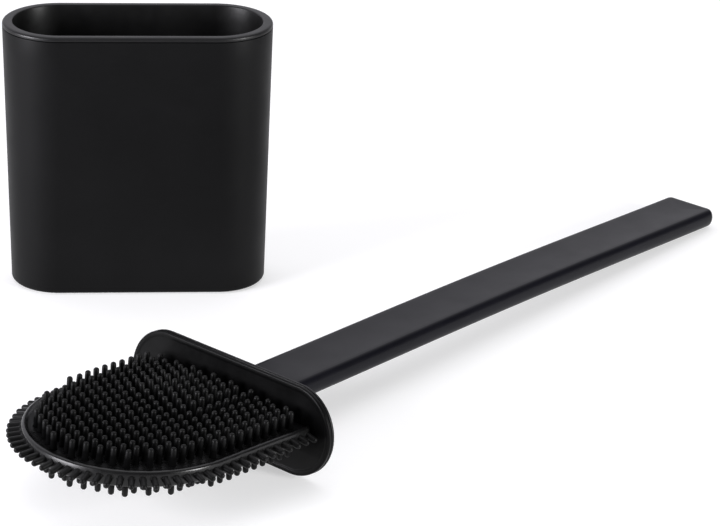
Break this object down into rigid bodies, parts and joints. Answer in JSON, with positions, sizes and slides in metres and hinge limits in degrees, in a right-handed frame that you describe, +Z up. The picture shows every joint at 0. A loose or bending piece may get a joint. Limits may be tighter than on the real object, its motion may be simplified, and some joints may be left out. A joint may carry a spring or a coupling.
{
  "type": "toilet brush with stand",
  "caption": "Flat soft-bristle toilet brush with splash collar and long strip handle, lying in front of its tapered oval stand with a lift-out liner.",
  "frame": {"origin": "on the floor under the middle of the stand's base", "axes": "+Z up, +X along the stand's width to its right seen from the front, -Y to the front, where the brush lies"},
  "size_m": [0.3255, 0.3167, 0.118],
  "materials": {
    "shell_black": "fine satin moulded plastic",
    "liner_black": "glossy moulded plastic",
    "handle_black": "fine satin moulded plastic",
    "collar_black": "matte moulded plastic",
    "core_black": "plain moulded plastic, hidden",
    "silicone_black": "smooth soft silicone",
    "bristle_black": "soft silicone bristles"
  },
  "bodies": {
    "stand": {"outer_shell": "shell_black"},
    "liner": {"liner_cup": "liner_black"},
    "brush": {"handle": "handle_black", "collar_back": "collar_black", "collar_seal": "silicone_black", "head_core": "core_black", "head_blade": "silicone_black", "bristle_field_top": "bristle_black", "bristle_field_bottom": "bristle_black", "bristle_fringe": "bristle_black"}
  },
  "joints": [
    {"name": "liner_lift", "type": "slide", "parent": "stand", "child": "liner", "axis": [0, 0, 1], "range_m": [0, 0.125]},
    {"name": "brush_lift", "type": "slide", "parent": "stand", "child": "brush", "axis": [0, 0, 1], "range_m": [0, 0.3]}
  ]
}
